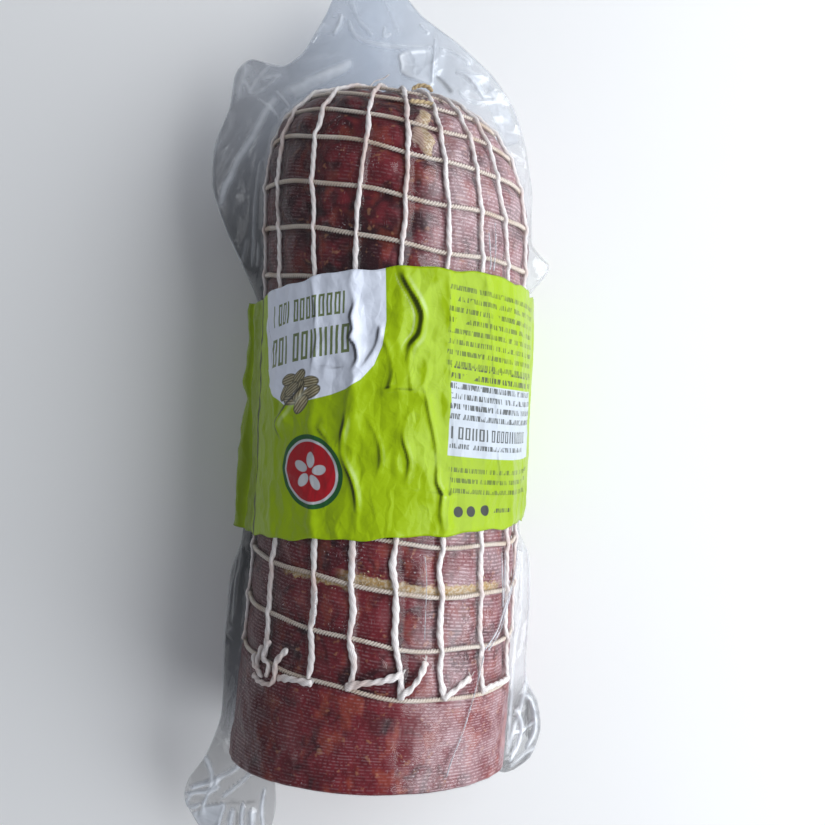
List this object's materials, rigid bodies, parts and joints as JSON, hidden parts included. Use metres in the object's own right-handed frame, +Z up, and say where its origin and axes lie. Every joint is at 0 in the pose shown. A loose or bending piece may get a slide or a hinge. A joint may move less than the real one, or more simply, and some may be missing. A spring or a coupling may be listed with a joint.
{
  "type": "fennel soppressata half in net and vacuum bag",
  "caption": "Half of a thick cured sausage on its side, domed at one end and cut flat at the other, in a string net with a printed band and a clear vacuum bag.",
  "frame": {"origin": "on the floor, in the middle of the flat strip that the sausage rests on, under the printed band", "axes": "+Z up, +Y along the sausage towards its domed end, +X across it, to the right in the picture"},
  "size_m": [0.1478, 0.3661, 0.1037],
  "materials": {
    "meat": "coarse dark red cured pork with pale fat, in a ribbed casing under tight glossy film",
    "string": "twisted off-white string",
    "band": "glossy lime green printed film, wrinkled over the net",
    "tie_string": "brown twisted string",
    "film": "clear glossy vacuum film, crumpled at the edges"
  },
  "bodies": {
    "root": {"meat": "meat", "net": "string", "band": "band", "tie": "tie_string", "bag": "film"}
  },
  "joints": []
}
